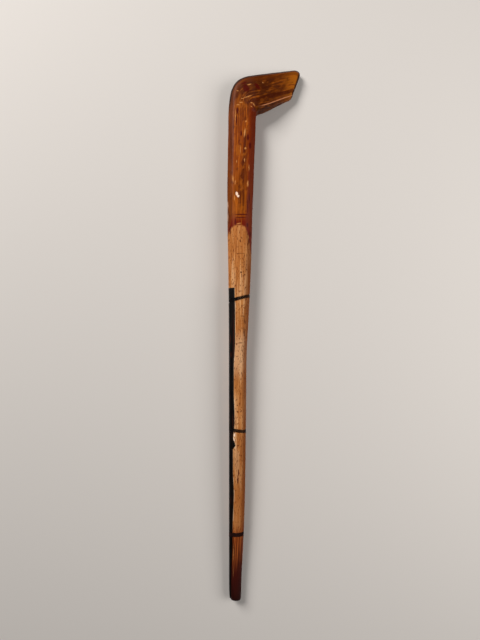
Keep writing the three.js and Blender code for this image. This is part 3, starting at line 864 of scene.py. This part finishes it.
def carved_hardwood(run_end):
    """Carved hardwood, brushed with red-brown varnish down to the middle and worn bare below it.

    The varnish is glossy and pooled dark red at its lower rim; the crook's outer edge is darkened
    almost black. The bare wood is dry, with short dark pores, and the tip is soaked almost black.
    """
    material, tree = new_material("carved_hardwood_varnish")
    grain = add_node(tree, "ShaderNodeAttribute", take=1, attribute_name="grain")
    share = add_node(tree, "ShaderNodeAttribute", take=1, attribute_name="share")
    lip_wear_and_highlight = add_node(tree, "ShaderNodeAttribute", take=2, attribute_name="lip_wear_and_highlight")
    across = add_node(tree, "ShaderNodeSeparateXYZ", {0: share})
    run, rise = across.node.outputs[1], across.node.outputs[2]
    broad = grain_noise(tree, grain, 7.0, 90.0, 2.0)
    fine = grain_noise(tree, grain, 1.6, 38.0, 4.0, 3.0)
    blotch = grain_noise(tree, grain, 11.0, 18.0, 3.0, 7.0)
    shaken = shaken_place(tree, 2.5, 1.8)
    wood, pores = bare_wood(tree, grain, run, fine, broad, across)
    varnish = red_varnish(tree, grain, run, across, fine, broad, blotch)

    # The varnish ends in an upturned U: higher in the middle of the front than on the flanks.
    varnish_end, flank_drop, raggedness = 591.0, 24.0, 12.0
    from_middle = add_node(tree, MATH, {0: across, 1: 0.42}, operation="SUBTRACT")
    from_middle = add_node(tree, MATH, {0: from_middle}, operation="ABSOLUTE")
    from_middle = add_node(tree, MATH, {0: from_middle, 1: 2.1}, operation="MULTIPLY")
    droop = add_node(tree, MATH, {0: from_middle, 1: 4.0}, operation="POWER")
    end = add_node(tree, MATH, {0: droop, 1: -flank_drop, 2: varnish_end}, operation="MULTIPLY_ADD")
    ragged = add_node(tree, MATH, {0: blotch, 1: raggedness, 2: end}, operation="MULTIPLY_ADD")
    above = add_node(tree, MATH, {0: run, 1: ragged}, operation="SUBTRACT")
    varnished = add_node(tree, RANGE, {0: above, 1: -2.0, 2: 2.0}, interpolation_type="SMOOTHSTEP")
    rim = (above, 24.0, 4.0)
    varnish = brush_on(tree, varnish, "#661000", 0.95, rim, (fine, 0.3, 0.5))
    base = brush_on(tree, wood, varnish, 1.0, varnished)

    # Dark red drips and pools.
    drips = marks(tree, shaken, [
        (13.4, 777, 1.8, 6.0, 0), (12, 762, 1.0, 9, 0), (19.5, 741, 1.4, 5, 0),
        (30, 735, 1.8, 6, 0), (33.5, 722, 2.2, 6, 0),
        (29.6, 627, 0.8, 13, 0), (32, 640, 1.0, 10, 0), (20, 614, 11, 1.1, 0), (19, 609.5, 9, 0.8, 0),
        (10.4, 603, 0.9, 6.5, 0), (29, 598, 1.8, 4, 0), (33.5, 584, 1.6, 5, 0), (31.5, 573, 1.2, 5, 0),
        (2, 590, 1.2, 9, 0), (24, 820, 5, 1.6, 20), (14.2, 197, 1.5, 7, 0), (15.2, 209, 1.2, 7, 0),
        (14.6, 252.5, 1.5, 1.4, 0), (13.5, 316, 0.9, 1.2, 0), (13.5, 306, 0.9, 1.4, 0),
        (27, 812, 5, 7, 30), (45, 815, 3, 7, 40),
    ])
    base = brush_on(tree, base, "#4a0800", 0.95, drips)

    # Pale scratches and scuffs, and chips down to fresh wood that is almost white. The thin pale line at
    # u 10.4 along the neck's left facet edge is a painted highlight.
    scuffs_and_edge_highlight = marks(tree, shaken, [
        (29.5, 798.6, 8, 1.1, 17), (21.5, 796, 2.6, 0.9, 5), (13.8, 808, 2.4, 1.0, 0),
        (19, 789.7, 3.4, 0.9, 0), (14.5, 786, 3.2, 1.0, 0), (31.5, 818, 4.5, 1.4, 5),
        (35.5, 789, 2.4, 0.9, -10), (39.5, 786, 1.2, 3.2, 25), (36, 783, 2.6, 0.9, -30),
        # The mark at u 10.4, v 769 is a painted highlight along the left facet's edge.
        (24.9, 742, 1.7, 8.5, -8), (10.4, 769, 0.7, 13, 0), (18.2, 716, 0.6, 8, 0),
        (26, 717.5, 1.8, 2.2, 0), (12.4, 697, 0.8, 3, 0), (24.9, 699, 1.0, 4, 0),
        (31.7, 687, 0.7, 6, 0), (6.5, 670, 1.3, 7, 8), (10.0, 664, 0.8, 5, -8),
        (29.8, 662, 1.4, 6, 0), (26.8, 760, 1.4, 1.8, 0), (53.5, 822, 1.4, 1.4, 0),
        (16, 600, 5, 0.9, 10), (9, 640, 0.7, 6, 0),
    ], 0.8)
    base = brush_on(tree, base, "#d8924e", 0.75, scuffs_and_edge_highlight, (fine, 0.3, 0.5))
    chips = marks(tree, shaken, [
        (12.6, 646.5, 1.9, 3.3, 12), (14.6, 642.8, 1.9, 2.1, 0),
        (8.9, 269, 1.3, 3.4, 0), (8.2, 262, 0.9, 4, 12),
    ], 0.4)
    base = brush_on(tree, base, "#ffdcc0", 0.92, chips)

    # Two stretches of the outer edge below the neck, scraped pale.
    scrapes = marks(tree, shaken, [(-1.8, 630, 1.3, 8, 0), (-1.6, 611, 1.2, 9, 0)], 0.7)
    base = brush_on(tree, base, "#e8b48c", 0.85, scrapes, (fine, 0.36, 0.47))

    # A dry crack and fine cross cuts, and the rebate's lip, worn pale and painted with a highlight along
    # its edge.
    cracks = marks(tree, shaken, [
        (24.2, 448, 0.9, 6.5, 0), (24.0, 431, 1.2, 8, 2), (21.5, 455.5, 3.6, 0.6, -8),
        (18, 413.5, 5, 0.6, 3), (17.8, 573, 0.9, 2.4, 0), (19.5, 524, 1.6, 1.6, -30),
        (25, 520.5, 1.0, 1.6, 0), (20.5, 472, 1.0, 1.4, 0), (18, 553.5, 8, 0.5, 0),
    ], 0.5)
    base = brush_on(tree, base, "#4a1c04", 0.85, cracks)
    # The rebate's lip is painted pale: partly wear, partly a painted highlight along its edge.
    base = brush_on(tree, base, "#efc9a2", 0.85, lip_wear_and_highlight, (fine, 0.25, 0.55))

    # The tip is soaked dark in streaks that run up from it, with one pale streak by the splint.
    streak_length, dark_length = 50.0, 120.0
    soak = add_node(tree, MATH, {0: fine, 1: streak_length, 2: run}, operation="MULTIPLY_ADD")
    soaked = (soak, 160.0, 131.0)
    place = add_node(tree, MATH, {0: run, 1: dark_length}, operation="DIVIDE")
    tip = add_node(tree, RAMP, {0: place}, stops=((0.05, "#2c0a05"), (0.93, "#7c360f"), (0.5, "#430f05")))
    upper_tip = (run, 45.0, 85.0)
    tip = brush_on(tree, tip, "#a45420", 0.7, (fine, 0.5, 0.6), upper_tip)
    tip = brush_on(tree, tip, "#260602", 0.8, (fine, 0.46, 0.36))
    base = brush_on(tree, base, tip, 1.0, soaked)
    pale = marks(tree, shaken, [(7.4, 80, 0.8, 24, 0), (7.0, 50, 0.6, 16, 0)])
    base = brush_on(tree, base, "#bc7c42", 0.85, pale)

    # The crook's outer edge and the beak's end are darkened almost black, and the front edge under the
    # beak has a pale painted highlight.
    edge_run = (run, 770.0, 790.0)
    outer = add_node(tree, RANGE, {0: across, 1: 0.08, 2: 0.045}, interpolation_type="SMOOTHSTEP")
    last = add_node(
        tree, RANGE, {0: run, 1: run_end - 3.5, 2: run_end - 1.5}, interpolation_type="SMOOTHSTEP"
    )
    outer = add_node(tree, MATH, {0: outer, 1: last}, operation="MAXIMUM")
    base = brush_on(tree, base, "#220c00", 0.92, outer, edge_run)
    # Painted highlight: a pale line along the front edge under the beak.
    under = add_node(tree, MATH, {0: across, 1: 0.935}, operation="SUBTRACT")
    under = add_node(tree, MATH, {0: under}, operation="ABSOLUTE")
    worn = (under, 0.022, 0.0)
    crook_run = (run, 822.0, 832.0)
    base = brush_on(tree, base, "#d88a58", 0.9, worn, crook_run, (rise, 0.8, 0.93))

    # Gloss: the varnish is smooth with dry scuffs, the bare wood matt.
    dull = add_node(tree, MATH, {0: 1.0, 1: varnished}, operation="SUBTRACT")
    dull = add_node(tree, MATH, {0: dull, 1: scuffs_and_edge_highlight}, operation="MAXIMUM")
    rough = add_node(tree, MATH, {0: dull, 1: 0.25, 2: 0.36}, operation="MULTIPLY_ADD")
    rough = add_node(tree, MATH, {0: broad, 1: 0.12, 2: rough}, operation="MULTIPLY_ADD")

    # Relief: fine raised grain and open pores over shallow knife flats 9 mm wide.
    knife = grain_noise(tree, grain, 9.0, 16.0, 1.0, 5.0)
    relief = add_node(tree, MATH, {0: fine, 1: 0.35, 2: knife}, operation="MULTIPLY_ADD")
    relief = add_node(tree, MATH, {0: pores, 1: -0.2, 2: relief}, operation="MULTIPLY_ADD")
    finish_shader(tree, base, rough, relief, 0.5 * MM, 0.1)
    return material


def blackened_cane():
    """Split cane rubbed with black lacquer: satin, finely fluted along, worn brown in places."""
    material, tree = new_material("blackened_split_cane")
    place = add_node(tree, "ShaderNodeTexCoord", take=3)
    flutes = grain_noise(tree, place, 0.9 * MM, 60 * MM, 3.0, 2.0)
    patches = grain_noise(tree, place, 6 * MM, 25 * MM, 3.0, 9.0)
    base = add_node(tree, RAMP, {0: flutes}, stops=((0.45, "#060302"), (0.75, "#1c120c")))
    base = brush_on(tree, base, "#2c1008", 0.6, (patches, 0.58, 0.72))
    shaken = shaken_place(tree, 2.5, 1.5)
    worn = marks(tree, shaken, [
        (2.5, 420, 1.4, 9, 0), (3.5, 395, 1.6, 6, 0), (7.3, 420, 1.0, 60, 0), (7.2, 165, 1.1, 45, 0),
        (6.5, 290, 1.0, 16, 0),
    ], 0.8)
    base = brush_on(tree, base, "#4a1c0c", 0.5, worn)
    rough = add_node(tree, MATH, {0: patches, 1: 0.2, 2: 0.3}, operation="MULTIPLY_ADD")
    finish_shader(tree, base, rough, flutes, 0.25 * MM, 0.14)
    return material


def waxed_cord():
    """Black twisted cord, waxed: dull, with short fibres and a faint sheen."""
    material, tree = new_material("waxed_black_cord")
    place = add_node(tree, "ShaderNodeTexCoord", take=3)
    fibres = grain_noise(tree, place, 0.25 * MM, 0.6 * MM, 2.0, 4.0)
    base = add_node(tree, RAMP, {0: fibres}, stops=((0.35, "#040101"), (0.7, "#120705")))
    # The lower binding is stained brown.
    along = add_node(tree, "ShaderNodeSeparateXYZ", {0: place}, take=1)
    lower = (along, TIP_Y + 0.2, TIP_Y + 0.12)
    base = brush_on(tree, base, "#2c0a03", 0.6, lower)
    rough = add_node(tree, MATH, {0: fibres, 1: 0.2, 2: 0.5}, operation="MULTIPLY_ADD")
    finish_shader(tree, base, rough, fibres, 0.1 * MM, 0.12)
    return material


def dress(piece, material, node):
    """Gives a finished piece its material and its place in the frame."""
    piece.data.materials.clear()
    piece.data.materials.append(material)
    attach(piece, "root")
    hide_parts(node)


dress(stick, carved_hardwood(grain_run), "carved_stick")
dress(splint, blackened_cane(), "black_splint")
cord_material = waxed_cord()
for name, cord in cords.items():
    dress(cord, cord_material, name + "_binding")


# ---------------------------------------------------------------------------------------------
# Floor, lights and camera.
# ---------------------------------------------------------------------------------------------
def pale_floor():
    """A painted board, pale and quite matt, so that it shows soft shadows and no gloss."""
    bpy.ops.object.select_all(action="DESELECT")
    bpy.ops.mesh.primitive_plane_add(size=6, location=(0, 0, 0))
    floor = bpy.context.object
    floor.name = "floor"
    material, tree = new_material("pale_matt_floor")
    shader = add_node(
        tree,
        "ShaderNodeBsdfPrincipled",
        {"Base Color": colour("#d3ccc5"), "Roughness": 0.9, "Specular IOR Level": 0.1},
    )
    add_node(tree, "ShaderNodeOutputMaterial", {0: shader})
    floor.data.materials.append(material)


def soft_light(name, place, size, power):
    """A square soft box at a place, turned to face the middle of the stick."""
    data = bpy.data.lights.new(name, "AREA")
    data.size = size
    data.energy = power
    light = bpy.data.objects.new(name, data)
    light.location = place
    light.rotation_euler = (-Vector(place)).to_track_quat("-Z", "Y").to_euler()
    bpy.context.scene.collection.objects.link(light)


pale_floor()
soft_light("window", (-1.4, 1.6, 1.5), 1.2, 71)
soft_light("room", (1.0, 0.0, 0.9), 0.9, 11)

world = bpy.data.worlds.new("plain_sky")
world.use_nodes = True
world.node_tree.nodes["Background"].inputs[0].default_value = colour("#f1f4f8")
world.node_tree.nodes["Background"].inputs[1].default_value = 0.06
bpy.context.scene.world = world
bpy.context.scene.view_settings.view_transform = "Standard"

camera_data = bpy.data.cameras.new("overhead")
camera_data.lens = 27.06
camera_data.sensor_width = 36
camera = bpy.data.objects.new("overhead", camera_data)
camera.location = spot(17.6, 449.5, 782)
bpy.context.scene.collection.objects.link(camera)
bpy.context.scene.camera = camera
